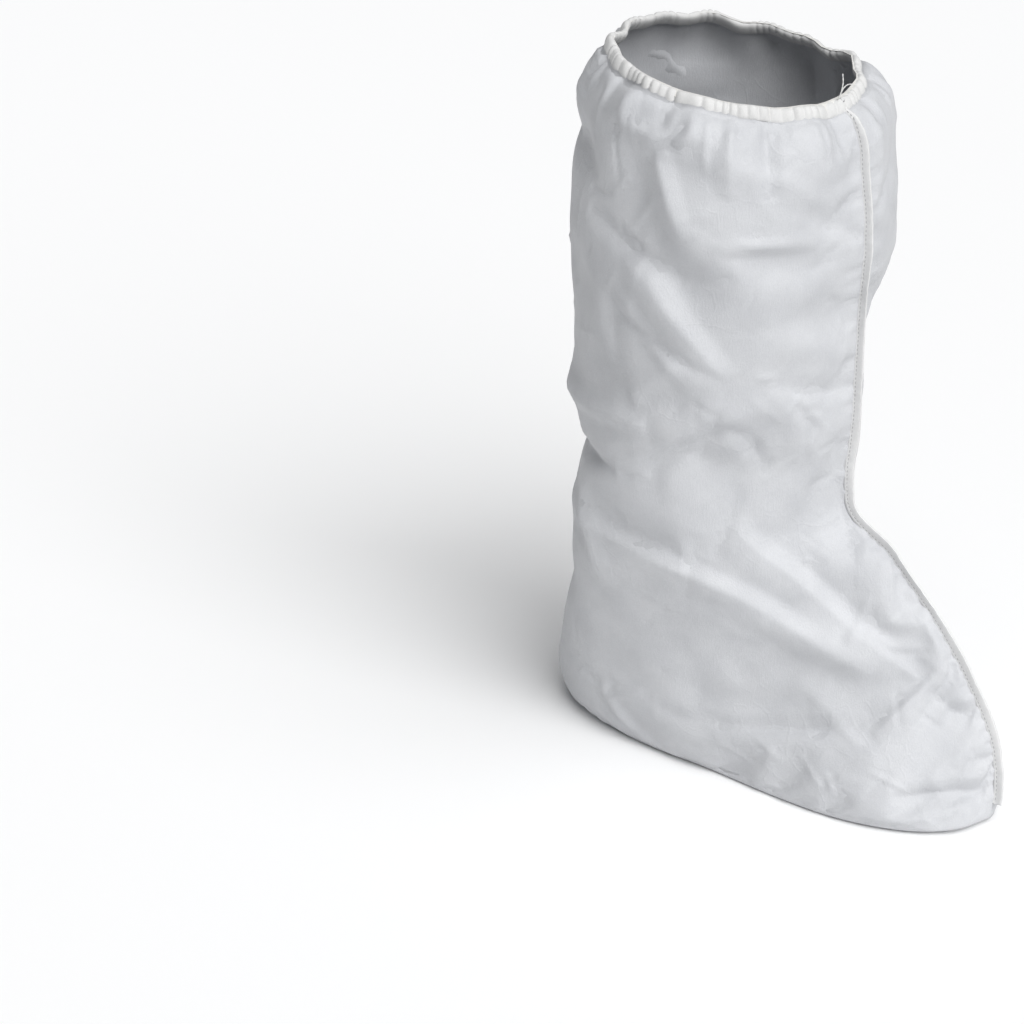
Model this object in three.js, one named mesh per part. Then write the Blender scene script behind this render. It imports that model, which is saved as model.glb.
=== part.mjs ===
// A disposable boot cover of crisp white nonwoven, in the form that a shoe and a trouser leg give it.
// One cloth blank, folded up the back, is sewn up the shin, over the instep and round the toe. So each
// section is a closed loop from the back line round to the front seam: nearly level at the cuff, tilted
// over the instep and upright at the toe. Millimetres; +X points to the toe, +Y to the far side, +Z up.
// The origin is on the inner face of the sole, under the middle of the leg.
import * as THREE from "three";

// Driving dimensions.
const rimBack = 460; // the cover is 18 inches high at the back and 17 at the front
const rimFront = 435;
const cuffSize = 145; // across the round cuff, where the elastic draws the leg in to 455 round
const legSize = 185; // across the loose leg, a tube that is 290 wide laid flat
const ankleFront = 180; // height where the seam bends from the shin to the instep
const ankleBack = 165;
const ankleWidth = 155;
const heelBack = -110;
const footLength = 320; // a 300 long shoe with some slack
const heelRadius = 45; // seen from the side
const archDip = 20; // how much narrower the arch is than the ankle and the ball
const ballWidth = 135;
const ballShare = 0.7; // where the ball is, as a share of the way from the ankle to the toe
const instepPower = 1.7; // 1 is a straight line from the ankle to the toe; more makes the toe boxier
const tipSize = 8; // loop that closes the toe
const toeSwing = 12; // the toe's point leans this far to the near side
const ankleSharpness = 0.4;
const toeSharpness = 1.2;
const underFloor = -30; // loops that make the sole reach this far down before the floor presses them flat
const clothWall = 1.4;
const soleBlend = 9; // half the height over which the side wall turns into the flat sole
const soleClearance = 22; // folds die out below this height
const hemDepth = 10; // how far the turned-in hem reaches below the rim
const rimCrown = 1.2; // how far the rounded rim stands above the hem's channel
const channelGap = 2.4; // clear width of the hem's channel
const bandHeight = 5.5;
const pieceGap = 0.3; // gap that separate pieces keep
const seamStand = 6; // width of the seam allowance outside its stitches
const seamThickness = 2;
const innerEnd = 14.6; // loop where the hollow ends, short of the toe's tip
const columns = 56; // facets round each loop
const rows = 36; // facets from rim to toe

const toeFront = heelBack + footLength;
const legShares = [0, 0.1, 0.3, 0.5, 0.75]; // loops of the leg, as shares of the way down to the ankle
const footLoops = 10; // loops from the ankle to the tip of the toe
const toeCrowding = 1.6; // above 1 the foot's loops stand closer towards the toe
const firstLoopDrop = legShares[1] * ((rimFront + rimBack - ankleFront - ankleBack) / 2);
const { lerp } = THREE.MathUtils;

// Each loop is given by where it meets the front seam and by its middle at the back or under the sole,
// both in the XZ plane. What lies below the floor is pressed flat on it. A loop with no sharpness is an
// ellipse; with one it is drawn out to a point at the seam. swing moves the whole loop along Y.
// A leg loop widens quickly from the cuff to the loose leg, then narrows sideways to the ankle.
function legLoop(share) {
  const blouse = Math.sin((Math.PI / 2) * Math.min(share / 0.2, 1));
  const size = lerp(cuffSize, legSize, blouse);
  return {
    frontX: size / 2,
    frontZ: lerp(rimFront, ankleFront, share),
    backX: -size / 2,
    backZ: lerp(rimBack, ankleBack, share),
    width: lerp(size, ankleWidth, share ** 3),
    sharpness: ankleSharpness * share ** 2,
    swing: 0,
  };
}

// The back end of a foot loop goes down to the heel, round it in an arc and on under the sole.
function footBack(share) {
  const heelTop = underFloor + heelRadius;
  const fall = ankleBack - heelTop;
  const arc = (heelRadius * Math.PI) / 2;
  const soleStart = heelBack + heelRadius;
  const run = toeFront - soleStart;
  const passed = share * (fall + arc + run);
  if (passed < fall) return [lerp(-legSize / 2, heelBack, passed / fall), ankleBack - passed];
  if (passed < fall + arc) {
    const angle = (passed - fall) / heelRadius;
    return [soleStart - heelRadius * Math.cos(angle), heelTop - heelRadius * Math.sin(angle)];
  }
  const along = (passed - fall - arc) / run;
  return [soleStart + run * along, underFloor * (1 - along ** 3)];
}

// The front end falls along the instep and turns down at the toe. The width dips at the arch, and closes
// in a quarter circle beyond the ball.
function footLoop(share) {
  const [backX, backZ] = footBack(share);
  const toBall = Math.min(share / ballShare, 1);
  const beyond = Math.max(share - ballShare, 0) / (1 - ballShare);
  const side = lerp(ankleWidth, ballWidth, toBall) - archDip * Math.sin(Math.PI * toBall);
  return {
    frontX: lerp(legSize / 2, toeFront, 1 - (1 - share) ** instepPower),
    frontZ: lerp(ankleFront, tipSize, share),
    backX,
    backZ,
    width: Math.max(side * Math.sqrt(1 - beyond ** 2), tipSize),
    sharpness: lerp(ankleSharpness, toeSharpness, share ** 2),
    swing: -toeSwing * share ** 8,
  };
}

const sections = legShares.map(legLoop);
for (let loop = 0; loop <= footLoops; loop += 1) {
  sections.push(footLoop(1 - (1 - loop / footLoops) ** toeCrowding));
}

// Main folds, each from one place on the form to another: [loop, degrees round from the seam], where the
// near side is positive. Loop 0 is the rim, 5 the ankle and 15 the tip of the toe.
const foldKinds = {
  ridge: { rise: 4, reach: 14 },
  valley: { rise: -4, reach: 14 },
  bulge: { rise: 11, reach: 34 },
};
const folds = [
  { kind: "ridge", from: [0.5, 90], to: [2, 75] }, // below the cuff
  { kind: "valley", from: [1.5, 135], to: [2.5, 75] },
  { kind: "ridge", from: [2.5, 90], to: [4, 60] }, // down the leg
  { kind: "ridge", from: [4, 150], to: [4, 75] }, // slack above the ankle
  { kind: "valley", from: [4.5, 150], to: [4.5, 60] },
  { kind: "ridge", from: [5.5, 120], to: [7.5, 45] }, // over the instep
  { kind: "valley", from: [5.5, 45], to: [9, 30] },
  { kind: "valley", from: [7.5, 90], to: [9, 60] },
  { kind: "bulge", from: [1, -45], to: [2.5, -45] }, // far side and back
  { kind: "valley", from: [2, -120], to: [3, -60] },
  { kind: "valley", from: [4.5, -150], to: [4.5, -60] },
  { kind: "ridge", from: [5.5, -120], to: [7.5, -45] },
  { kind: "valley", from: [4.5, 150], to: [4.5, 210] },
  { kind: "valley", from: [6.5, 165], to: [6.5, 195] },
];

// Gathers under the elastic: waves round the cuff that are highest at peakDrop below the rim.
const gathers = [
  { count: 14, phase: 0.6, height: 1.5, peakDrop: 0, reach: 26 },
  { count: 9, phase: 2.1, height: 2.4, peakDrop: 32, reach: 34 },
  { count: 5, phase: 0.9, height: 2.2, peakDrop: 70, reach: 48 },
];

// Smooth curve through the loops, one value at a time. A whole place is a loop.
function interpolate(place, column) {
  const last = sections.length - 1;
  const row = THREE.MathUtils.clamp(Math.floor(place), 0, last - 1);
  const t = place - row;
  const a = sections[Math.max(row - 1, 0)][column];
  const b = sections[row][column];
  const c = sections[row + 1][column];
  const d = sections[Math.min(row + 2, last)][column];
  const bend = 2 * a - 5 * b + 4 * c - d;
  const twist = 3 * b - a - 3 * c + d;
  return 0.5 * (2 * b + (c - a) * t + bend * t * t + twist * t * t * t);
}

// Half width of a loop at an angle from the seam, from -1 to 1: a sine drawn out to a point at angle 0.
function teardrop(angle, sharpness) {
  const power = sharpness + 1;
  const peak = (2 * (power / (power + 1)) ** (power / 2)) / Math.sqrt(power + 1);
  return (Math.sin(angle) * Math.abs(Math.sin(angle / 2)) ** sharpness) / peak;
}

// Height after the floor has pressed the cloth flat, with a round turn into the side wall.
function pressOnFloor(height, floor) {
  const above = height - floor;
  if (above > soleBlend) return height;
  if (above < -soleBlend) return floor;
  return floor + (above + soleBlend) ** 2 / (4 * soleBlend);
}

// Point of the unfolded form. inset 0 is the outer face; a larger one is that far inside it.
function formPoint(place, angle, inset) {
  const sharpness = Math.max(interpolate(place, "sharpness"), 0);
  const front = new THREE.Vector3(interpolate(place, "frontX"), 0, interpolate(place, "frontZ"));
  const back = new THREE.Vector3(interpolate(place, "backX"), 0, interpolate(place, "backZ"));
  const along = front.clone().sub(back).normalize();
  front.addScaledVector(along, -inset * (1 + sharpness));
  back.addScaledVector(along, inset);
  const point = back.lerp(front, (1 + Math.cos(angle)) / 2);
  const halfWidth = interpolate(place, "width") / 2 - inset;
  point.y = interpolate(place, "swing") - halfWidth * teardrop(angle, sharpness);
  point.z = pressOnFloor(point.z, inset - clothWall);
  return point;
}

// Outward direction of the unfolded form, square to its two surface directions.
function outward(place, angle) {
  const step = 0.02;
  const across = formPoint(place, angle + step, 0).sub(formPoint(place, angle - step, 0));
  const down = formPoint(place + step, angle, 0).sub(formPoint(place - step, angle, 0));
  return across.cross(down).normalize();
}

const foldLines = folds.map(({ kind, from, to }) => {
  const [start, end] = [from, to].map(([place, degrees]) => formPoint(place, (degrees * Math.PI) / 180, 0));
  return { ...foldKinds[kind], line: new THREE.Line3(start, end) };
});

// How far folds and gathers move the cloth out at a point.
function relief(angle, point) {
  const drop = formPoint(0, angle, 0).z - point.z;
  const nearest = new THREE.Vector3();
  let height = 0;
  for (const { rise, reach, line } of foldLines) {
    const distance = line.closestPointToPoint(point, true, nearest).distanceTo(point);
    height += rise * Math.exp(-((distance / reach) ** 2));
  }
  for (const wave of gathers) {
    const fade = Math.exp(-(((drop - wave.peakDrop) / wave.reach) ** 2));
    height += wave.height * fade * Math.cos(wave.count * angle + wave.phase);
  }
  return height * THREE.MathUtils.smoothstep(point.z, 2, soleClearance);
}

// Point of the worn cloth: the form moved out by its folds.
function clothPoint(place, angle, inset) {
  const height = relief(angle, formPoint(place, angle, 0));
  return formPoint(place, angle, inset).addScaledVector(outward(place, angle), height);
}

function ring(place, inset) {
  const points = [];
  for (let i = 0; i < columns; i += 1) {
    points.push(clothPoint(place, (2 * Math.PI * i) / columns, inset));
  }
  return points;
}

function placeBelowRim(drop) {
  return drop / firstLoopDrop;
}

// Closed mesh through rings of equal point counts. A hoop joins its last ring to its first; otherwise
// each end is closed by a fan about the ring's middle.
function loft(rings, hoop) {
  const count = rings[0].length;
  const points = rings.flat();
  const faces = [];
  const bands = hoop ? rings.length : rings.length - 1;
  for (let r = 0; r < bands; r += 1) {
    const here = r * count;
    const next = ((r + 1) % rings.length) * count;
    for (let i = 0; i < count; i += 1) {
      const j = (i + 1) % count;
      faces.push(here + i, next + i, here + j, here + j, next + i, next + j);
    }
  }
  if (!hoop) {
    const lastRing = (rings.length - 1) * count;
    for (const [start, flip] of [[0, false], [lastRing, true]]) {
      const middle = new THREE.Vector3();
      points.slice(start, start + count).forEach((point) => middle.addScaledVector(point, 1 / count));
      points.push(middle);
      for (let i = 0; i < count; i += 1) {
        const pair = [start + i, start + ((i + 1) % count)];
        if (flip) pair.reverse();
        faces.push(points.length - 1, ...pair);
      }
    }
  }
  const geometry = new THREE.BufferGeometry().setFromPoints(points);
  geometry.setIndex(faces);
  geometry.computeVertexNormals();
  return geometry;
}

// Leg, foot and hem in one cloth: outer face from the toe up to the rim, over it, down the turned-in hem,
// up its channel and down the inner face to the toe.
function coverBodyGeometry() {
  const last = sections.length - 1;
  const hemInset = 2 * clothWall + channelGap;
  const hemEnd = placeBelowRim(hemDepth);
  const channelTop = placeBelowRim(clothWall);
  const bandFoot = placeBelowRim(clothWall + pieceGap + bandHeight);
  const rings = [];
  for (let r = rows; r >= 0; r -= 1) rings.push(ring((last * r) / rows, 0));
  rings.push(ring(-placeBelowRim(rimCrown), hemInset / 2));
  rings.push(ring(0, hemInset));
  rings.push(ring(hemEnd, hemInset));
  rings.push(ring(hemEnd, hemInset - clothWall));
  rings.push(ring(bandFoot, hemInset - clothWall));
  rings.push(ring(channelTop, hemInset - clothWall));
  rings.push(ring(channelTop, clothWall));
  rings.push(ring(bandFoot, clothWall));
  for (let r = 1; (last * r) / rows < innerEnd; r += 1) rings.push(ring((last * r) / rows, clothWall));
  rings.push(ring(innerEnd, clothWall));
  return loft(rings, false);
}

// Flat elastic that runs round inside the hem's channel.
function elasticBandGeometry() {
  const outerInset = clothWall + pieceGap;
  const innerInset = clothWall + channelGap - pieceGap;
  const top = placeBelowRim(clothWall + pieceGap);
  const bottom = placeBelowRim(clothWall + pieceGap + bandHeight);
  const outside = [ring(bottom, outerInset), ring(top, outerInset)];
  const inside = [ring(top, innerInset), ring(bottom, innerInset)];
  return loft([...outside, ...inside], true);
}

// The two raw edges of the blank, sewn together and standing out along the front seam.
function frontSeamGeometry() {
  const last = sections.length - 1;
  const rings = [];
  for (let r = 0; r <= rows; r += 1) {
    const place = (last * r) / rows;
    const root = clothPoint(place, 0, 0);
    const out = outward(place, 0);
    out.set(out.x, 0, Math.max(out.z, 0)).normalize();
    const corners = [[0, -1], [1, -1], [1, 1], [0, 1]].map(([reach, side]) => {
      const corner = root.clone().addScaledVector(out, pieceGap + reach * seamStand);
      corner.y += (side * seamThickness) / 2;
      return corner;
    });
    rings.push(corners);
  }
  return loft(rings, false);
}

function subPart(name, geometry, color, roughness) {
  const mesh = new THREE.Mesh(geometry, new THREE.MeshStandardMaterial({ color, roughness, metalness: 0 }));
  mesh.name = name;
  return mesh;
}

const bootCover = new THREE.Group();
bootCover.add(subPart("cover_body", coverBodyGeometry(), 0xe8eaee, 0.72));
bootCover.add(subPart("elastic_band", elasticBandGeometry(), 0xf2f1ec, 0.85));
bootCover.add(subPart("front_seam", frontSeamGeometry(), 0xf3f3f2, 0.75));

export default bootCover;
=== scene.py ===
import math
import bpy
import numpy as np
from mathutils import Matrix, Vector


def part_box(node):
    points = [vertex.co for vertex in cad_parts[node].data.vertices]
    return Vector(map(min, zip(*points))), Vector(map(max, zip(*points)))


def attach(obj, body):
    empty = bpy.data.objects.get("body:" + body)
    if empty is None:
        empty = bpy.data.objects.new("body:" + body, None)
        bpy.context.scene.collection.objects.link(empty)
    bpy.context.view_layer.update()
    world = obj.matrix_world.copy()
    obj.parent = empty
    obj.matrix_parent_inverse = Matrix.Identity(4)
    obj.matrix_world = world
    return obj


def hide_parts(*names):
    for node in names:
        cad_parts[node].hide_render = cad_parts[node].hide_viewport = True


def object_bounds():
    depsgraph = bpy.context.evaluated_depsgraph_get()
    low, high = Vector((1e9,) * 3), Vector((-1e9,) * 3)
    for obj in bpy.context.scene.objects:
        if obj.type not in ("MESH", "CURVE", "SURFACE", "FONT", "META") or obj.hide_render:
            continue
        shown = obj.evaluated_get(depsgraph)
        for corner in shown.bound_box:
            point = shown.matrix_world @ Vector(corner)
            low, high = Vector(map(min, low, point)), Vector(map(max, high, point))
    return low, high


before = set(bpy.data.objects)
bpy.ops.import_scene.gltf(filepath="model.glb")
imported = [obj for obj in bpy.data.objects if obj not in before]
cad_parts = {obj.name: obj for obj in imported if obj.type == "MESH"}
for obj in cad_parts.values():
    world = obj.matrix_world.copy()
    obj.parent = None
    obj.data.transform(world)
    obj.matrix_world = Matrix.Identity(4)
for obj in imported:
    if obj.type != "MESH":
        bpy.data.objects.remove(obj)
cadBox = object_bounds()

# A worn disposable boot cover: one crisp nonwoven blank folded up the back and sewn up the front.
# Shapes are worked out in millimetres and written into the meshes in metres. +X is the toe, +Z up,
# and -Y the near side, where the camera stands.
millimetre = 0.001
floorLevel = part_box("cover_body")[0][2] / millimetre
turn = 2 * np.pi

print("camera")
cameraValues = {
    "azimuth": 35,  # degrees round from the near side towards the toe
    "elevation": 25,
    "lens": 100,  # mm on a 36 mm sensor
    "distance": 3.8,  # these three are times the cover's height
    "aside": 0.38,  # the cover stands this far right of the view's middle
    "above": 0.13,
}


def makeCamera(values):
    # It stands back from the middle of the cover's box along its azimuth and elevation, then moves left
    # and down in its own view.
    azimuth, elevation = math.radians(values["azimuth"]), math.radians(values["elevation"])
    back = Vector((math.sin(azimuth), -math.cos(azimuth), math.tan(elevation))).normalized()
    right = Vector((math.cos(azimuth), math.sin(azimuth), 0))
    up = back.cross(right)
    low, high = Vector(cadBox[0]), Vector(cadBox[1])
    shift = back * values["distance"] - right * values["aside"] - up * values["above"]
    data = bpy.data.cameras.new("viewCamera")
    data.lens = values["lens"]
    data.sensor_width = 36
    data.clip_start, data.clip_end = 0.05, 50
    camera = bpy.data.objects.new("viewCamera", data)
    bpy.context.scene.collection.objects.link(camera)
    camera.location = (low + high) / 2 + shift * (high.z - low.z)
    camera.rotation_mode = "QUATERNION"
    camera.rotation_quaternion = (-back).to_track_quat("-Z", "Y")
    bpy.context.scene.camera = camera


makeCamera(cameraValues)

print("light and floor")
lightValues = {
    "skyColour": (0.95, 0.97, 1.0),
    "skyStrength": 0.20,
    "keyFrom": (0.80, -0.40, 0.75),  # direction to the light
    "keyStrength": 2.1,
    "keySoftness": 45,  # degrees across
    "topFrom": (0.40, -0.15, 1.0),
    "topStrength": 1.5,
    "topSoftness": 60,
    "floorShade": 0.93,
    "floorHalfSize": 4.0,  # metres
}


def makeSun(name, direction, strength, softness):
    data = bpy.data.lights.new(name, "SUN")
    data.energy = strength
    data.angle = math.radians(softness)
    sun = bpy.data.objects.new(name, data)
    sun.rotation_euler = (-Vector(direction)).to_track_quat("-Z", "Y").to_euler()
    bpy.context.scene.collection.objects.link(sun)


def makeSky(values):
    world = bpy.data.worlds.new("studioSky")
    world.use_nodes = True
    background = world.node_tree.nodes["Background"]
    background.inputs["Color"].default_value = (*values["skyColour"], 1)
    background.inputs["Strength"].default_value = values["skyStrength"]
    bpy.context.scene.world = world


def makeFloor(values):
    # A plain pale floor, a hair under the sole.
    half, low = values["floorHalfSize"], floorLevel * millimetre - 0.0002
    mesh = bpy.data.meshes.new("studioFloor")
    corners = [(-half, -half, low), (half, -half, low), (half, half, low), (-half, half, low)]
    mesh.from_pydata(corners, [], [(0, 1, 2, 3)])
    floor = bpy.data.objects.new("studioFloor", mesh)
    bpy.context.scene.collection.objects.link(floor)
    material = bpy.data.materials.new("paleFloor")
    material.use_nodes = True
    shader = material.node_tree.nodes["Principled BSDF"]
    shader.inputs["Base Color"].default_value = (*[values["floorShade"]] * 3, 1)
    shader.inputs["Roughness"].default_value = 0.9
    mesh.materials.append(material)


makeSky(lightValues)
makeSun("keySun", lightValues["keyFrom"], lightValues["keyStrength"], lightValues["keySoftness"])
makeSun("topSun", lightValues["topFrom"], lightValues["topStrength"], lightValues["topSoftness"])
makeFloor(lightValues)
bpy.context.scene.view_settings.view_transform = "Standard"

print("cover: form")
# The part's own driving dimensions, in mm and shares.
formValues = {
    "rimBack": 460,
    "rimFront": 435,
    "cuffSize": 145,  # across the round cuff
    "legSize": 185,  # across the loose leg
    "ankleFront": 180,
    "ankleBack": 165,
    "ankleWidth": 155,
    "heelBack": -110,
    "toeFront": 210,
    "heelRadius": 45,
    "archDip": 20,
    "ballWidth": 135,
    "ballShare": 0.7,
    "instepPower": 1.7,
    "tipSize": 8,
    "toeSwing": 12,
    "ankleSharpness": 0.4,
    "toeSharpness": 1.2,
    "underFloor": -30,
    "legShares": (0, 0.1, 0.3, 0.5, 0.75),  # loops of the leg, as shares of the way down to the ankle
    "footLoops": 10,  # loops from the ankle to the tip of the toe
    "toeCrowding": 1.6,  # above 1 the foot's loops stand closer towards the toe
}
coverValues = {
    "columns": 320,  # facets round the cover
    "rows": 276,  # facets from the hem to the toe
    "innerStep": 4,  # the inner face has one facet for this many outer ones
    "wall": 0.55,  # thickness of the cloth as modelled
    "soleBlend": 9.0,  # half the height over which the side wall turns into the flat sole
    "innerEnd": 14.6,  # loop where the hollow ends
    "hemInset": 2.4,  # the cloth's upper edge sits this far inside, in the hem
    "hemFrom": 5.0,  # distance below the rim where the cloth enters the hem
    "hemTo": 11.5,
    "foldFade": (2, 22),  # heights above the floor between which folds die out
    "creaseFade": (2, 20),
    "seamCalm": (0.02, 0.22),  # radians from the seam between which creases grow to full height
    "hemCalm": (3, 18),  # the same as distances below the rim
    "swells": ((3, 95, 1.0), (4, 34, 0.35)),  # seed, wavelength and height of each soft swell
}


def mix(start, end, share):
    return start + (end - start) * share


def legLoop(share, form):
    # It widens by a sine from the cuff to the loose leg, then narrows sideways to the ankle.
    size = mix(form["cuffSize"], form["legSize"], math.sin(math.pi / 2 * min(share / 0.2, 1)))
    frontZ = mix(form["rimFront"], form["ankleFront"], share)
    backZ = mix(form["rimBack"], form["ankleBack"], share)
    width = mix(size, form["ankleWidth"], share**3)
    return size / 2, frontZ, -size / 2, backZ, width, form["ankleSharpness"] * share**2, 0


def footBack(share, form):
    # Straight down to the heel, round it by an arc, and on under the sole, rising at the toe by a cube.
    heelTop = form["underFloor"] + form["heelRadius"]
    soleStart = form["heelBack"] + form["heelRadius"]
    fall, arc = form["ankleBack"] - heelTop, form["heelRadius"] * math.pi / 2
    run = form["toeFront"] - soleStart
    passed = share * (fall + arc + run)
    if passed < fall:
        return mix(-form["legSize"] / 2, form["heelBack"], passed / fall), form["ankleBack"] - passed
    if passed < fall + arc:
        angle = (passed - fall) / form["heelRadius"]
        across, down = form["heelRadius"] * math.cos(angle), form["heelRadius"] * math.sin(angle)
        return soleStart - across, heelTop - down
    along = (passed - fall - arc) / run
    return soleStart + run * along, form["underFloor"] * (1 - along**3)


def footLoop(share, form):
    # The front end falls along the instep and turns down at the toe. The width dips by a sine at the arch
    # and closes by a quarter circle beyond the ball.
    toBall = min(share / form["ballShare"], 1)
    beyond = max(share - form["ballShare"], 0) / (1 - form["ballShare"])
    side = mix(form["ankleWidth"], form["ballWidth"], toBall) - form["archDip"] * math.sin(math.pi * toBall)
    frontX = mix(form["legSize"] / 2, form["toeFront"], 1 - (1 - share) ** form["instepPower"])
    frontZ = mix(form["ankleFront"], form["tipSize"], share)
    width = max(side * math.sqrt(1 - beyond**2), form["tipSize"])
    sharpness = mix(form["ankleSharpness"], form["toeSharpness"], share**2)
    return frontX, frontZ, *footBack(share, form), width, sharpness, -form["toeSwing"] * share**8


def coverLoops(form):
    # Loops from the rim to the tip of the toe, each (frontX, frontZ, backX, backZ, width, sharpness, swing).
    leg = [legLoop(share, form) for share in form["legShares"]]
    steps = np.arange(form["footLoops"] + 1) / form["footLoops"]
    foot = [footLoop(share, form) for share in 1 - (1 - steps) ** form["toeCrowding"]]
    return np.array(leg + foot)


loopNames = ("frontX", "frontZ", "backX", "backZ", "width", "sharpness", "swing")
loopRows = coverLoops(formValues)
lastLoop = len(loopRows) - 1
firstLoopDrop = (loopRows[0] - loopRows[1])[[1, 3]].mean()


def smoothStep(value, low, high):
    share = np.clip((value - low) / (high - low), 0, 1)
    return share * share * (3 - 2 * share)


def throughRows(rows, place):
    # Catmull-Rom: between two rows, the cubic that leaves and enters them with their neighbours' slope.
    rows = np.asarray(rows, float)
    last = len(rows) - 1
    row = np.clip(np.floor(place).astype(int), 0, last - 1)
    t = (place - row)[..., None]
    a, b = rows[np.maximum(row - 1, 0)], rows[row]
    c, d = rows[row + 1], rows[np.minimum(row + 2, last)]
    return 0.5 * (2 * b + (c - a) * t + (2 * a - 5 * b + 4 * c - d) * t**2 + (3 * b - a - 3 * c + d) * t**3)


def coverForm(place, angle, inset=0.0):
    # A loop's point lies between its back and front by (1 + cos angle) / 2, and its half width is
    # sin(angle) * sin(angle / 2) ** sharpness, scaled to 1. What lies under the floor is pressed flat.
    place, angle = np.broadcast_arrays(np.asarray(place, float), np.asarray(angle, float))
    loop = dict(zip(loopNames, np.moveaxis(throughRows(loopRows, place), -1, 0)))
    sharpness = np.maximum(loop["sharpness"], 0)
    spanX, spanZ = loop["frontX"] - loop["backX"], loop["frontZ"] - loop["backZ"]
    length = np.maximum(np.hypot(spanX, spanZ), 1e-6)
    front = inset * (1 + sharpness)
    share = (inset + (length - front - inset) * (1 + np.cos(angle)) / 2) / length
    power = sharpness + 1
    peak = 2 * (power / (power + 1)) ** (power / 2) / np.sqrt(power + 1)
    across = np.sin(angle) * np.abs(np.sin(angle / 2)) ** sharpness / peak
    x = loop["backX"] + spanX * share
    y = loop["swing"] - (loop["width"] / 2 - inset) * across
    z = loop["backZ"] + spanZ * share
    blend = coverValues["soleBlend"]
    above = z - floorLevel - inset
    pressed = np.where(above < -blend, 0, (above + blend) ** 2 / (4 * blend))
    z = np.where(above > blend, above, pressed) + floorLevel + inset
    return np.stack([x, y, z], -1)


def unit(vectors):
    return vectors / np.maximum(np.linalg.norm(vectors, axis=-1, keepdims=True), 1e-9)


def formNormal(place, angle, step=0.02):
    # Outward: the cross product of the steps round the loop and down the cover.
    around = coverForm(place, angle + step) - coverForm(place, angle - step)
    down = coverForm(place + step, angle) - coverForm(place - step, angle)
    return unit(np.cross(around, down))


print("cover: folds")
# A fold or crease goes from place to place on the form: (loop, degrees round from the seam), where the near
# side is positive. Loop 0 is the rim, 5 the ankle and 15 the tip of the toe. These are the part's folds.
foldKinds = {"ridge": (4, 14), "valley": (-4, 14), "bulge": (11, 34)}  # rise and reach
foldRows = (
    ("ridge", (0.5, 90), (2, 75)),  # below the cuff
    ("valley", (1.5, 135), (2.5, 75)),
    ("ridge", (2.5, 90), (4, 60)),  # down the leg
    ("ridge", (4, 150), (4, 75)),  # slack above the ankle
    ("valley", (4.5, 150), (4.5, 60)),
    ("ridge", (5.5, 120), (7.5, 45)),  # over the instep
    ("valley", (5.5, 45), (9, 30)),
    ("valley", (7.5, 90), (9, 60)),
    ("bulge", (1, -45), (2.5, -45)),  # far side and back
    ("valley", (2, -120), (3, -60)),
    ("valley", (4.5, -150), (4.5, -60)),
    ("ridge", (5.5, -120), (7.5, -45)),
    ("valley", (4.5, 150), (4.5, 210)),
    ("valley", (6.5, 165), (6.5, 195)),
)
# Waves under the elastic: count round the cuff, phase, height, drop below the rim of the peak, reach.
gatherRows = (
    (14, 0.6, 1.5, 0, 26),
    (9, 2.1, 2.4, 32, 34),
    (5, 0.9, 2.2, 70, 48),
)


def mainRelief(place, angle):
    # Each fold is rise * exp(-(distance / reach) ** 2) from its straight line, each gather a cosine round
    # the cuff that fades from its peak, and both die out towards the floor.
    place, angle = np.broadcast_arrays(place, angle)
    points = coverForm(place, angle)
    total = np.zeros(points.shape[:-1])
    for kind, *ends in foldRows:
        rise, reach = foldKinds[kind]
        start, end = [coverForm(loop, math.radians(degrees)) for loop, degrees in ends]
        offset, span = points - start, end - start
        t = np.clip(offset @ span / (span @ span), 0, 1)
        distance = np.linalg.norm(offset - t[..., None] * span, axis=-1)
        total += rise * np.exp(-((distance / reach) ** 2))
    drop = coverForm(0 * place, angle)[..., 2] - points[..., 2]
    for count, phase, height, peakDrop, reach in gatherRows:
        total += height * np.exp(-(((drop - peakDrop) / reach) ** 2)) * np.cos(count * angle + phase)
    return total * smoothStep(points[..., 2], *coverValues["foldFade"])


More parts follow.
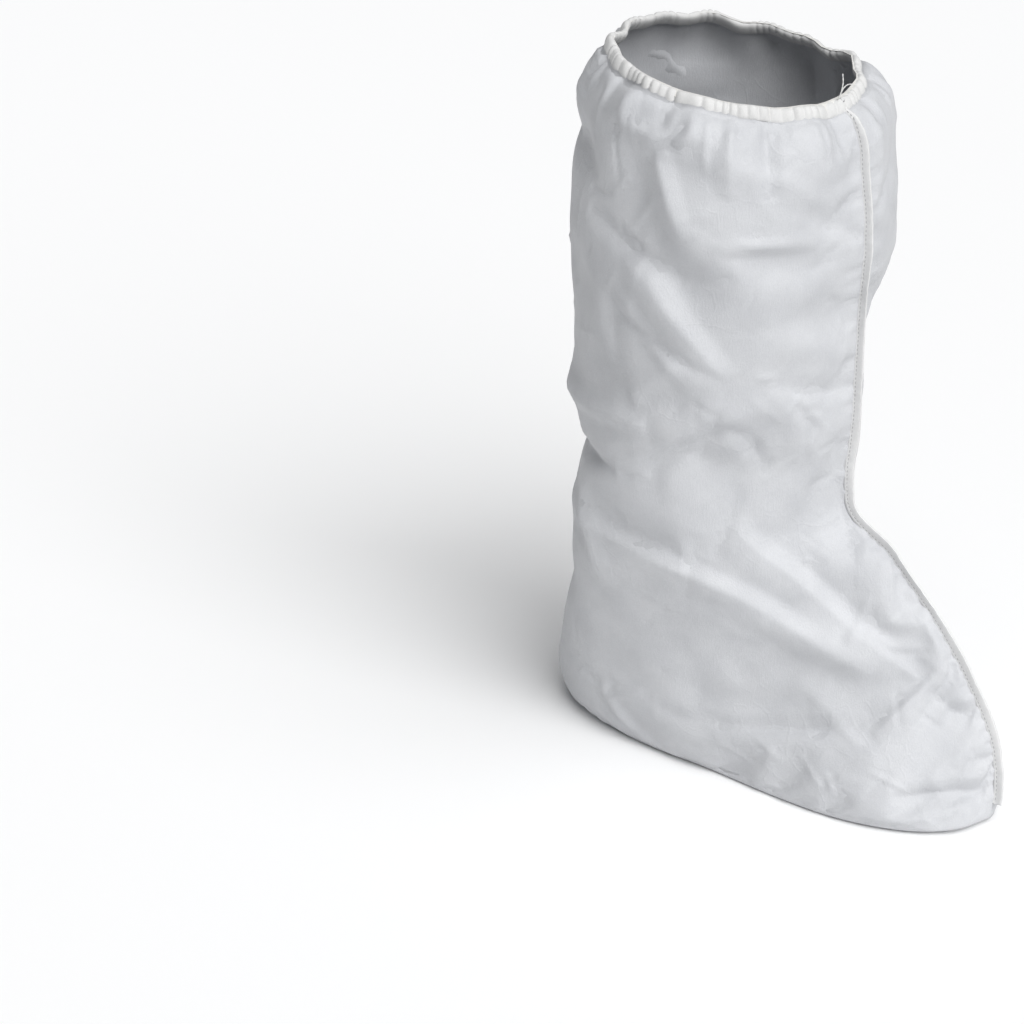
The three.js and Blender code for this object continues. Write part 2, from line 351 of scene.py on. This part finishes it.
# Crisp creases by kind: height of the crest, how far its left and right flanks reach, and keen, which is 1
# for flat flanks and more for hollow ones.
creaseKinds = {
    "ridge": (4.5, 10, 18, 1.2),
    "pleat": (3.0, 8, 11, 1.2),
    "roll": (3.5, 10, 9, 1.1),
    "valley": (-4.0, 9, 11, 1.3),
    "line": (-1.8, 6, 7, 1.3),
}
pathSteps = 16  # straight steps that a crease takes between two of its points
creaseRows = (
    ("ridge", (0, 105), (1, 105)),  # flap under the cuff, and the ridge below it
    ("ridge", (0, 75), (1, 75)),
    ("pleat", (1, 105), (1, 75)),
    ("ridge", (1, 90), (2, 75)),
    ("valley", (2, 120), (2.5, 75)),  # pull from the back
    ("roll", (0, 60), (1.5, 60)),
    ("valley", (0, 45), (1.5, 45)),
    ("ridge", (2.5, 90), (3, 75), (3.5, 60)),  # leaf down the middle of the leg
    ("line", (3, 105), (3.5, 60)),
    ("roll", (4, 150), (4, 90)),  # slack above the ankle
    ("valley", (4.5, 90), (4, 60), (4.5, 45)),
    ("valley", (4.5, 150), (4.5, 105)),
    ("ridge", (5, 150), (5.5, 90), (6.5, 60), (8, 45)),  # over the instep
    ("ridge", (5, 60), (6.5, 45), (9, 30)),
    ("valley", (7.5, 105), (9, 60)),  # side of the foot
    ("pleat", (7, 120), (8, 120)),
    ("valley", (9.5, 30), (10, 15)),  # vamp and toe
    ("valley", (11, 75), (13, 30)),
    ("ridge", (0.5, -90), (2.5, -90)),  # far side and back
    ("valley", (2, -120), (3, -75)),
    ("roll", (4, -150), (4, -75)),
    ("valley", (4.5, -150), (4.5, -75)),
    ("ridge", (5, -150), (5.5, -90), (7, -60)),
    ("valley", (7.5, -105), (9, -60)),
    ("valley", (1, 165), (2.5, 195)),
)
crumpleValues = {
    "seed": 11,
    "broad": {"count": 110, "length": (30, 90), "rise": (1.0, 3.0), "reach": (6, 18)},
    "fine": {"count": 420, "length": (8, 36), "rise": (0.3, 1.3), "reach": (1.8, 6)},
}
gatherValues = {
    "seed": 5,
    "count": 62,  # pleats that start under the elastic
    "length": (10, 55),
    "rise": (0.8, 2.8),
    "reach": (2.5, 7.0),
}


def creaseHeight(points, path, normals, rise, left, right, keen):
    # rise * taper * (1 - distance / reach) ** keen, where the distance is to the path, the reach differs
    # on its two sides, and the taper falls to nothing at its ends.
    reach = max(left, right)
    inside = ((points > path.min(0) - reach) & (points < path.max(0) + reach)).all(-1)
    spots = points[inside]
    steps = np.diff(path, axis=0)
    lengths = np.linalg.norm(steps, axis=1)
    before = np.concatenate([[0], np.cumsum(lengths)])
    nearest, signed, along = np.full(len(spots), 1e9), np.zeros(len(spots)), np.zeros(len(spots))
    for start, step, length, passed, normal in zip(path, steps, lengths, before, normals):
        offset = spots - start
        t = np.clip(offset @ step / length**2, 0, 1)
        gap = offset - t[:, None] * step
        distance = np.linalg.norm(gap, axis=1)
        closer = distance < nearest
        nearest = np.where(closer, distance, nearest)
        signed = np.where(closer, gap @ np.cross(normal, step), signed)
        along = np.where(closer, (passed + t * length) / before[-1], along)
    reachHere = np.where(signed > 0, left, right)
    taper = np.clip(4 * along * (1 - along), 0, 1) ** 0.5
    height = np.zeros(points.shape[:-1])
    height[inside] = rise * taper * np.clip(1 - nearest / reachHere, 0, 1) ** keen
    return height


def namedCreases(points):
    total = np.zeros(points.shape[:-1])
    for kind, *path in creaseRows:
        stretches = len(path) - 1
        fine = throughRows(path, np.linspace(0, stretches, pathSteps * stretches + 1))
        place, angle = fine[:, 0], np.radians(fine[:, 1])
        total += creaseHeight(points, coverForm(place, angle), formNormal(place, angle), *creaseKinds[kind])
    return total


def crumple(points, normals, seed, count, length, rise, reach):
    # Small seeded creases all over: straight paths in random directions on the surface.
    chance = np.random.default_rng(seed)
    total = np.zeros(points.shape[:-1])
    rows, columns = points.shape[:2]
    for _ in range(count):
        row, column = chance.integers(rows), chance.integers(columns)
        heading = chance.uniform(0, turn)
        around = unit(points[row, (column + 1) % columns] - points[row, column])
        direction = around * np.cos(heading) + np.cross(around, normals[row, column]) * np.sin(heading)
        path = points[row, column] + direction * np.linspace(-0.5, 0.5, 3)[:, None] * chance.uniform(*length)
        left, right = chance.uniform(*reach, 2)
        height = chance.uniform(*rise) * chance.choice((-1, 1))
        sideways = np.repeat(normals[row, column][None], 3, 0)
        total += creaseHeight(points, path, sideways, height, left, right, chance.uniform(1, 1.6))
    return total


def undulation(points, seed, wavelength, height, waves=7):
    # Soft uneven swell: a sum of plane waves in random directions, about one wavelength long.
    chance = np.random.default_rng(seed)
    directions = unit(chance.normal(size=(waves, 3))) * turn / wavelength
    phases = chance.uniform(0, turn, waves)
    return height * np.sin(points @ directions.T + phases).sum(-1) / math.sqrt(waves)


puckerValues = {"height": 0.6, "waves": (22, 8), "phase": 1.3, "reach": 0.16, "calm": 0.05}


def seamPuckers(place, angle, values):
    # Little puckers that the stitching draws in: waves along the seam that fade to both sides of it.
    fromSeam = np.abs((angle + np.pi) % turn - np.pi)
    short, long = values["waves"]
    wave = np.sin(place * short) * np.sin(place * long + values["phase"])
    fade = np.exp(-((fromSeam / values["reach"]) ** 2)) * smoothStep(fromSeam, 0, values["calm"])
    return values["height"] * wave * fade


def gatherPleats(points, values):
    # Pleats that run down from the hem and die out, each a crease from the rim downwards.
    chance = np.random.default_rng(values["seed"])
    total = np.zeros(points.shape[:-1])
    share = np.linspace(0, 1, 5)
    for pleat in range(values["count"]):
        start = (pleat + chance.uniform(-0.35, 0.35)) * turn / values["count"]
        length = chance.uniform(*values["length"]) * chance.uniform(0.5, 1)
        place = (2 * share - 1) * length / firstLoopDrop
        angle = start + chance.uniform(-0.12, 0.12) * share
        left, right = chance.uniform(*values["reach"], 2)
        rise = chance.uniform(*values["rise"])
        path, sideways = coverForm(place, angle), formNormal(place, angle)
        total += creaseHeight(points, path, sideways, rise, left, right, 1.2)
    return total


def evenPlaces(start, end, count):
    # Places along the cover, spaced so that the rows are equally far apart on average round the loop.
    fine = np.linspace(start, end, 1200)
    points = coverForm(fine[:, None], np.linspace(0, turn, 24, endpoint=False)[None])
    steps = np.linalg.norm(np.diff(points, axis=0), axis=-1).mean(1)
    return np.interp(np.linspace(0, steps.sum(), count), np.concatenate([[0], np.cumsum(steps)]), fine)


angles = np.linspace(0, turn, coverValues["columns"], endpoint=False)[None]
firstPlace = coverValues["hemFrom"] / firstLoopDrop
places = evenPlaces(firstPlace, lastLoop, coverValues["rows"])[:, None]
smooth = coverForm(places, angles)
normals = formNormal(places, angles)
belowRim = coverForm(0 * places, angles)[..., 2] - smooth[..., 2]

fineRelief = namedCreases(smooth) + gatherPleats(smooth, gatherValues)
fineRelief += seamPuckers(places, angles, puckerValues)
fineRelief += crumple(smooth, normals, crumpleValues["seed"], **crumpleValues["broad"])
fineRelief += crumple(smooth, normals, crumpleValues["seed"] + 1, **crumpleValues["fine"])
for swell in coverValues["swells"]:
    fineRelief += undulation(smooth, *swell)
fromSeam = np.abs((angles + np.pi) % turn - np.pi)
fineRelief *= mix(0.25, 1, smoothStep(fromSeam, *coverValues["seamCalm"]))
fineRelief *= smoothStep(smooth[..., 2], *coverValues["creaseFade"])
fineRelief *= smoothStep(belowRim, *coverValues["hemCalm"])
hemInset = coverValues["hemInset"] * (1 - smoothStep(belowRim, coverValues["hemFrom"], coverValues["hemTo"]))
outer = smooth + normals * (mainRelief(places, angles) + fineRelief - hemInset)[..., None]


def meshFrom(name, vertices, faces):
    mesh = bpy.data.meshes.new(name)
    mesh.from_pydata((np.asarray(vertices) * millimetre).tolist(), [], faces)
    mesh.polygons.foreach_set("use_smooth", np.ones(len(mesh.polygons), bool))
    mesh.validate()
    mesh.update()
    piece = bpy.data.objects.new(name, mesh)
    bpy.context.scene.collection.objects.link(piece)
    return piece


def gridFaces(rows, columns, first=0, flip=False):
    # Quads of a grid of rows and columns, numbered row by row from first and closed along its columns.
    i, j = np.meshgrid(np.arange(rows - 1), np.arange(columns), indexing="ij")
    k = (j + 1) % columns
    corners = [i * columns + j, i * columns + k, (i + 1) * columns + k, (i + 1) * columns + j]
    if flip:
        corners.reverse()
    return (np.stack(corners, -1).reshape(-1, 4) + first).tolist()


def capFaces(start, count, pole, flip=False):
    # Fan of triangles from one ring of a grid to its pole.
    here = start + np.arange(count)
    following = start + (np.arange(count) + 1) % count
    pair = [here, following] if flip else [following, here]
    return np.stack([*pair, np.full(count, pole)], -1).tolist()


print("cover: cloth simulation")
settleValues = {
    "step": 2,  # one simulated point for this many of the surface's
    "growth": 0.025,  # the cloth is this much too large for its form, so it buckles
    "mass": 0.3,
    "tension": 30,
    "shear": 15,
    "bending": 3.0,
    "quality": 5,
    "frames": 20,
    "mostMove": 5.0,  # mm
    "scale": 10,  # simulated at this many times real size, where the solver is steadier
}


def settleCloth(grid, values):
    # Cloth simulation of the slightly oversized surface, held at the hem, seam, sole and toe. A point's
    # move is kept short by most * tanh(move / most), and spread linearly over the points between.
    step, scale = values["step"], values["scale"]
    coarse = grid[::step, ::step]
    rows, columns = coarse.shape[:2]
    mesh = bpy.data.meshes.new("settling")
    mesh.from_pydata((coarse.reshape(-1, 3) * millimetre * scale).tolist(), [], gridFaces(rows, columns))
    cloth = bpy.data.objects.new("settling", mesh)
    bpy.context.scene.collection.objects.link(cloth)
    held = coarse[..., 2] < 3
    held[:2] = held[-8:] = held[:, 0] = True
    cloth.vertex_groups.new(name="held").add(np.flatnonzero(held).tolist(), 1.0, "REPLACE")
    modifier = cloth.modifiers.new("settle", "CLOTH")
    settings = modifier.settings
    settings.vertex_group_mass = "held"
    settings.quality = values["quality"]
    settings.mass = values["mass"]
    settings.tension_stiffness = settings.compression_stiffness = values["tension"]
    settings.shear_stiffness = values["shear"]
    settings.bending_stiffness = values["bending"]
    settings.shrink_min = -values["growth"]
    settings.effector_weights.gravity = 0
    modifier.collision_settings.use_collision = False
    modifier.collision_settings.use_self_collision = False
    modifier.point_cache.frame_end = values["frames"] + 1
    for frameNumber in range(1, values["frames"] + 1):
        bpy.context.scene.frame_set(frameNumber)
    settled = cloth.evaluated_get(bpy.context.evaluated_depsgraph_get()).to_mesh()
    places = np.empty(rows * columns * 3)
    settled.vertices.foreach_get("co", places)
    move = places.reshape(rows, columns, 3) / (millimetre * scale) - coarse
    bpy.context.scene.frame_set(1)
    bpy.data.objects.remove(cloth)
    size = np.linalg.norm(move, axis=-1, keepdims=True)
    most = values["mostMove"]
    move *= most * np.tanh(size / most) / np.maximum(size, 1e-6)
    print("  moved by", size.mean().round(2), "mm on average")
    row = np.minimum(np.arange(grid.shape[0]) / step, rows - 1.001)
    column = np.arange(grid.shape[1]) / step
    i, j = row.astype(int), column.astype(int)
    s, t = (row - i)[:, None, None], (column - j)[None, :, None]
    k = (j + 1) % columns
    upper = move[i][:, j] * (1 - t) + move[i][:, k] * t
    lower = move[i + 1][:, j] * (1 - t) + move[i + 1][:, k] * t
    return upper * (1 - s) + lower * s


outer += settleCloth(outer, settleValues)
outer[..., 2] = np.maximum(outer[..., 2], floorLevel)


def wornCloth(name, outer, inner, step):
    # Closed cloth: a fine outer grid and a coarser inner grid, joined round the upper edge by fans and
    # each closed at the toe by a pole.
    rows, columns = outer.shape[:2]
    innerRows, innerColumns = inner.shape[:2]
    base = rows * columns
    poles = [outer[-1:].mean(1), inner[-1:].mean(1)]
    vertices = np.concatenate([outer.reshape(-1, 3), inner.reshape(-1, 3), *poles])
    faces = gridFaces(rows, columns) + gridFaces(innerRows, innerColumns, base, flip=True)
    j = np.arange(columns)
    owner = ((j + step // 2) // step) % innerColumns
    faces += np.stack([(j + 1) % columns, j, base + owner], -1).tolist()
    m = np.arange(innerColumns)
    turnAt = (m * step + step // 2) % columns
    faces += np.stack([turnAt, base + m, base + (m + 1) % innerColumns], -1).tolist()
    faces += capFaces((rows - 1) * columns, columns, len(vertices) - 2, flip=True)
    faces += capFaces(base + (innerRows - 1) * innerColumns, innerColumns, len(vertices) - 1)
    return meshFrom(name, vertices, faces)


print("cover: mesh")
step = coverValues["innerStep"]
innerRowCount = int((places[:, 0] < coverValues["innerEnd"]).sum())
innerPlaces, innerAngles = places[:innerRowCount:step], angles[:, ::step]
inward = coverForm(innerPlaces, innerAngles, coverValues["wall"]) - coverForm(innerPlaces, innerAngles)
coverCloth = wornCloth("cover_cloth", outer, outer[:innerRowCount:step, ::step] + inward, step)

print("cuff hem")
hemValues = {
    "columns": 720,
    "sides": 22,
    "middle": 5.0,  # mm below the rim
    "halfHeight": 5.8,
    "halfThickness": 2.1,
    "ruffles": 70,  # bunches round the cuff
    "ruffleHeight": 1.25,
    "unevenness": 0.45,
    "seed": 23,
}


def unevenWave(angle, seed, low, high, waves=6):
    # Sum of cosines with seeded whole counts between low and high, so that it closes round the cuff.
    chance = np.random.default_rng(seed)
    counts = chance.integers(low, high, waves)
    return sum(np.cos(count * angle + chance.uniform(0, turn)) for count in counts) / math.sqrt(waves)


def hemSurface(values):
    # A flattened tube round the cuff: side runs round the tube and angle round the cuff. Each bunch
    # swells by a power of a sine between two pinches, where the elastic draws the cloth in.
    angle = np.linspace(0, turn, values["columns"], endpoint=False)[None]
    side = np.linspace(0, turn, values["sides"], endpoint=False)[:, None]
    seed = values["seed"]
    shifted = angle + 0.045 * unevenWave(angle, seed, 5, 21)
    bunch = np.abs(np.sin(values["ruffles"] * shifted / 2)) ** 0.65 - 0.6
    ruffle = values["ruffleHeight"] * bunch * (1 + values["unevenness"] * unevenWave(angle, seed + 1, 9, 40))
    upper = np.cos(side)
    drop = values["middle"] - (values["halfHeight"] + 0.8 * ruffle * (upper > 0)) * upper
    drop = drop + 0.5 * unevenWave(angle, seed + 2, 3, 12)
    thickness = values["halfThickness"] * (1 + 0.25 * upper) + ruffle * (0.9 + 0.35 * np.sin(side))
    place = drop / firstLoopDrop
    middlePlace = np.full_like(angle, values["middle"] / firstLoopDrop)
    offset = thickness * np.sin(side) - coverValues["hemInset"] + mainRelief(middlePlace, angle)
    return coverForm(place, angle) + formNormal(middlePlace, angle) * offset[..., None]


def closedTube(name, points):
    # Grid closed both ways: its rows run round the tube.
    rows, columns = points.shape[:2]
    wrapped = np.array(gridFaces(rows + 1, columns)) % (rows * columns)
    return meshFrom(name, points.reshape(-1, 3), wrapped.tolist())


def cappedTube(name, points):
    # Grid closed along its columns, with a pole at each end.
    rows, columns = points.shape[:2]
    vertices = np.concatenate([points.reshape(-1, 3), points[:1].mean(1), points[-1:].mean(1)])
    faces = gridFaces(rows, columns) + capFaces(0, columns, rows * columns)
    faces += capFaces((rows - 1) * columns, columns, rows * columns + 1, flip=True)
    return meshFrom(name, vertices, faces)


hem = closedTube("cuff_hem", hemSurface(hemValues))

print("front seam")
seamValues = {
    "spacing": 0.8,  # mm between sections along the seam
    "stand": 5.4,  # width outside the stitches
    "lean": 1.3,
    "stitchReach": 1.1,
    "stitchPitch": 2.7,
    "stitchLength": 1.8,
    "stitchRadius": 0.24,
    "stitchSides": 6,
    "stitchRings": 5,
}
# Section of the two sewn plies: reach out from the seam, and half thickness there.
seamSection = (
    (-1.2, 0.62),
    (0.4, 0.60),
    (1.1, 0.34),
    (1.9, 0.52),
    (3.4, 0.60),
    (5.0, 0.62),
    (5.4, 0.50),
    (5.15, 0.10),
)


def takeAlong(wanted, passed, values):
    # Each column of values, read off by straight lines at the wanted distances.
    return np.stack([np.interp(wanted, passed, column) for column in values.T], -1)


def seamLines(values):
    # Root line of the seam from the rim to the toe and its outward direction in the XZ plane, both at an
    # even spacing.
    hemPlaces = np.linspace(0, places[0, 0], 10)[:-1]
    hemDepth = mainRelief(hemPlaces, 0 * hemPlaces) - 0.3
    hemNormals = formNormal(hemPlaces, 0 * hemPlaces)
    root = np.concatenate([coverForm(hemPlaces, 0.0) + hemNormals * hemDepth[:, None], outer[:, 0]])
    out = np.concatenate([hemNormals, normals[:, 0]]) * (1, 0, 1) + (1e-6, 0, 0)
    out[:, 2] = np.where(root[:, 2] < 60, np.maximum(out[:, 2], 0), out[:, 2])
    passed = np.concatenate([[0], np.cumsum(np.linalg.norm(np.diff(root, axis=0), axis=1))])
    wanted = np.arange(0, passed[-1] - 2, values["spacing"])
    return takeAlong(wanted, passed, root), unit(takeAlong(wanted, passed, unit(out))), wanted


seamRoot, seamOut, seamPassed = seamLines(seamValues)
seamAlong = unit(np.gradient(seamRoot, axis=0))
seamSide = unit(np.cross(seamOut, seamAlong))
seamWidth = 0.25 + 0.75 * smoothStep(seamPassed, 4, 34)
seamWidth *= 1 + 0.06 * np.sin(seamPassed / 9) * np.sin(seamPassed / 23 + 1)
seamTilt = seamValues["lean"] * (0.7 * np.sin(seamPassed / 31 + 0.6) + 0.3 * np.sin(seamPassed / 11))
seamTilt += 0.16 * np.sin(seamPassed * turn / 7.5) * np.sin(seamPassed / 17)


def onSeam(reach, side):
    # Point of the standing seam: out from its root and across it, leaning more the further out it is.
    lean = seamTilt[:, None] * np.clip(reach / seamValues["stand"], 0, 1) ** 1.5
    outwards = reach * np.where(reach > seamValues["stitchReach"], seamWidth[:, None], 1)
    point = seamRoot[:, None] + seamOut[:, None] * outwards[..., None]
    return point + seamSide[:, None] * (side + lean)[..., None]


def stitchRow(name, centres, along, lift, values):
    # Joined capsules: rings along each stitch whose radius is the root of 1 - share ** 2.
    rings, sides = values["stitchRings"], values["stitchSides"]
    share = np.linspace(-1, 1, rings)[None, :, None, None]
    spin = np.linspace(0, turn, sides, endpoint=False)[None, None, :, None]
    along, lift = along[:, None, None], lift[:, None, None]
    radius = values["stitchRadius"] * np.sqrt(1.02 - share**2)
    circle = lift * np.cos(spin) + unit(np.cross(along, lift)) * np.sin(spin)
    points = centres[:, None, None] + along * share * values["stitchLength"] / 2 + circle * radius
    firsts = np.arange(len(centres))[:, None, None] * rings * sides
    faces = (np.array(gridFaces(rings, sides))[None] + firsts).reshape(-1, 4).tolist()
    near = np.arange(sides)[None] + firsts[:, 0]
    faces += near[:, ::-1].tolist() + (near + (rings - 1) * sides).tolist()
    return meshFrom(name, points.reshape(-1, 3), faces)


def seamStitches(name, sign, values):
    # Stitches at an even pitch along one face of the seam, half sunk into it.
    wanted = np.arange(3, seamPassed[-1] - 2, values["stitchPitch"])
    line = onSeam(np.array([[values["stitchReach"]]]), np.array([[sign * 0.4]]))[:, 0]
    along = unit(takeAlong(wanted, seamPassed, seamAlong))
    lift = unit(takeAlong(wanted, seamPassed, seamSide)) * sign
    return stitchRow(name, takeAlong(wanted, seamPassed, line), along, lift, values)


profile = np.array(seamSection)
seamReach = np.concatenate([profile[:, 0], profile[::-1, 0]])[None]
seamHalves = np.concatenate([profile[:, 1], -profile[::-1, 1]])[None]
seam = cappedTube("seam_strip", onSeam(seamReach, seamHalves))
nearStitches = seamStitches("seam_stitches_near", 1, seamValues)
farStitches = seamStitches("seam_stitches_far", -1, seamValues)

print("thread tail")
tailValues = {"radius": 0.42, "sides": 8, "twist": 0.9, "pointsPerStretch": 14}
# Two loose ends from the top of the seam, as (x, y, z) from there.
tailPaths = (
    ((-2, -1, -5), (0, -3, 0), (2, -3.5, 5), (2.5, -3, 10), (1.5, -2, 15)),
    ((0.5, -3, 1), (2.5, -3, 6), (5, -2, 9), (8, -1, 9.5)),
)


def threadTube(name, path, values):
    # Circle carried along a smooth path, waisted by a turning cosine so that it looks twisted.
    stretches = len(path) - 1
    line = throughRows(path, np.linspace(0, stretches, values["pointsPerStretch"] * stretches + 1))
    along = unit(np.gradient(line, axis=0))
    side = unit(np.cross(along, (0.3, 1, 0.1)))
    other = np.cross(along, side)
    angle = np.linspace(0, turn, values["sides"], endpoint=False)[None]
    index = np.arange(len(line))[:, None]
    radius = values["radius"] * (1 + 0.22 * np.cos(2 * angle + values["twist"] * index))
    radius = (radius * (1 - 0.3 * index / len(line)))[..., None]
    spin = side[:, None] * np.cos(angle)[..., None] + other[:, None] * np.sin(angle)[..., None]
    return cappedTube(name, line[:, None] + spin * radius)


tails = []
for index, path in enumerate(tailPaths, 1):
    tails.append(threadTube(f"thread_tail_{index}", seamRoot[0] + np.array(path), tailValues))

print("finishes")


def newGroup(name, inputs, outputs):
    group = bpy.data.node_groups.new(name, "ShaderNodeTree")
    for socket, kind in inputs.items():
        group.interface.new_socket(name=socket, in_out="INPUT", socket_type=kind)
    for socket, kind in outputs.items():
        group.interface.new_socket(name=socket, in_out="OUTPUT", socket_type=kind)
    return group, group.nodes.new("NodeGroupInput"), group.nodes.new("NodeGroupOutput")


def addNode(tree, kind, links, **settings):
    # A node with its settings, where each named input gets a link or a plain value.
    node = tree.nodes.new(kind)
    for name, value in settings.items():
        setattr(node, name, value)
    for socket, value in links.items():
        if isinstance(value, bpy.types.NodeSocket):
            tree.links.new(value, node.inputs[socket])
        else:
            node.inputs[socket].default_value = value
    return node


def mathNode(tree, operation, first, second):
    return addNode(tree, "ShaderNodeMath", {0: first, 1: second}, operation=operation).outputs[0]


def ramp(tree, value, low, high, toLow=0.0, toHigh=1.0):
    links = {0: value, 1: low, 2: high, 3: toLow, 4: toHigh}
    return addNode(tree, "ShaderNodeMapRange", links, interpolation_type="SMOOTHSTEP").outputs[0]


def noise(tree, vector, scale, detail, roughness=0.5):
    links = {"Vector": vector, "Scale": scale, "Detail": detail, "Roughness": roughness}
    return addNode(tree, "ShaderNodeTexNoise", links).outputs["Fac"]


def fibreGrainGroup():
    # Height: half fine noise and half streaks drawn out along Z, plus hairline creases where a broad
    # noise lets a network of cell edges through. Shade: cloudy thickness of the fibre web.
    inputs = {"Vector": "NodeSocketVector", "Grain Scale": "NodeSocketFloat", "Crinkle": "NodeSocketFloat"}
    outputs = {"Height": "NodeSocketFloat", "Shade": "NodeSocketFloat"}
    group, given, result = newGroup("fibreGrain", inputs, outputs)
    vector, scale = given.outputs["Vector"], given.outputs["Grain Scale"]
    fine = noise(group, vector, scale, 4.0, 0.65)
    drawnOut = {"Vector": vector, "Scale": (1.0, 1.0, 0.22), "Rotation": (0.5, 0.3, 0.0)}
    streak = noise(group, addNode(group, "ShaderNodeMapping", drawnOut).outputs[0], scale, 2.0)
    warp = addNode(group, "ShaderNodeTexNoise", {"Vector": vector, "Scale": 38.0, "Detail": 2.0})
    bent = {0: 0.035, 4: vector, 5: warp.outputs["Color"]}
    bentVector = addNode(group, "ShaderNodeMix", bent, data_type="VECTOR").outputs[1]
    edges = {"Vector": bentVector, "Scale": 62.0}
    cells = addNode(group, "ShaderNodeTexVoronoi", edges, feature="DISTANCE_TO_EDGE")
    hairline = ramp(group, cells.outputs["Distance"], 0.0, 0.10, 1.0, 0.0)
    patches = ramp(group, noise(group, vector, 14.0, 1.0), 0.46, 0.62)
    crinkle = mathNode(group, "MULTIPLY", hairline, patches)
    crinkle = mathNode(group, "MULTIPLY", crinkle, given.outputs["Crinkle"])
    grain = mathNode(group, "MULTIPLY", mathNode(group, "ADD", fine, streak), 0.5)
    group.links.new(mathNode(group, "ADD", grain, crinkle), result.inputs["Height"])
    cloudy = mathNode(group, "MULTIPLY", noise(group, vector, 30.0, 5.0, 0.6), 0.6)
    speckle = mathNode(group, "MULTIPLY", fine, 0.4)
    group.links.new(mathNode(group, "ADD", cloudy, speckle), result.inputs["Shade"])
    return group


finishNames = ("dark", "light", "roughness", "grainScale", "crinkle", "bump")
finishValues = {  # grainScale is per metre and bump in metres
    "nonwoven": ((0.500, 0.508, 0.528), (0.580, 0.588, 0.606), 0.55, 1100.0, 0.3, 0.00030),
    # Seam strip: painted light, a paler copy of the same cloth so the standing strip reads bright although
    # its side falls in shade.
    "seamClothPaintedLight": ((0.640, 0.640, 0.640), (0.720, 0.720, 0.718), 0.68, 1300.0, 0.2, 0.00014),
    "hemCloth": ((0.590, 0.589, 0.584), (0.680, 0.679, 0.672), 0.66, 1200.0, 0.4, 0.00016),
    "knitElastic": ((0.640, 0.630, 0.600), (0.720, 0.712, 0.690), 0.80, 1800.0, 0.0, 0.00030),
    # Stitches: dark grey painted shade of the needle holes; the real thread is white.
    "stitchPaintedShade": ((0.330, 0.330, 0.335), (0.420, 0.420, 0.425), 0.55, 2600.0, 0.0, 0.00010),
    "looseThread": ((0.740, 0.736, 0.720), (0.800, 0.796, 0.780), 0.60, 2600.0, 0.0, 0.00010),
}
fibreGrain = fibreGrainGroup()


def clothFinish(name):
    finish = dict(zip(finishNames, finishValues[name]))
    material = bpy.data.materials.new(name)
    material.use_nodes = True
    tree = material.node_tree
    shader = tree.nodes["Principled BSDF"]
    grain = addNode(tree, "ShaderNodeGroup", {}, node_tree=fibreGrain)
    tree.links.new(tree.nodes.new("ShaderNodeTexCoord").outputs["Object"], grain.inputs["Vector"])
    grain.inputs["Grain Scale"].default_value = finish["grainScale"]
    grain.inputs["Crinkle"].default_value = finish["crinkle"]
    share = ramp(tree, grain.outputs["Shade"], 0.32, 0.68)
    ends = {0: share, 6: (*finish["dark"], 1), 7: (*finish["light"], 1)}
    colour = addNode(tree, "ShaderNodeMix", ends, data_type="RGBA").outputs[2]
    tree.links.new(colour, shader.inputs["Base Color"])
    bump = addNode(tree, "ShaderNodeBump", {"Height": grain.outputs["Height"], "Distance": finish["bump"]})
    tree.links.new(bump.outputs["Normal"], shader.inputs["Normal"])
    shader.inputs["Roughness"].default_value = finish["roughness"]
    shader.inputs["Specular IOR Level"].default_value = 0.35
    shader.inputs["Sheen Weight"].default_value = 0.08
    return material


def finishPiece(piece, slot, material, *nodes):
    piece.data.materials.append(material)
    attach(piece, "root")
    if nodes:
        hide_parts(*nodes)


finishPiece(coverCloth, "nonwoven", clothFinish("nonwoven"), "cover_body")
finishPiece(hem, "nonwoven", clothFinish("hemCloth"))
# The seam strip's paler finish is painted light on the same cloth as the body.
finishPiece(seam, "seam_allowance", clothFinish("seamClothPaintedLight"), "front_seam")
# The stitches take a dark grey finish: painted shade of the needle holes, not the thread's own colour.
stitchShadeFinish = clothFinish("stitchPaintedShade")
finishPiece(nearStitches, "seam_allowance", stitchShadeFinish)
finishPiece(farStitches, "seam_allowance", stitchShadeFinish)
tailFinish = clothFinish("looseThread")
for tail in tails:
    finishPiece(tail, "seam_allowance", tailFinish)
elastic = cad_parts["elastic_band"]
elastic.material_slots[0].material = clothFinish("knitElastic")
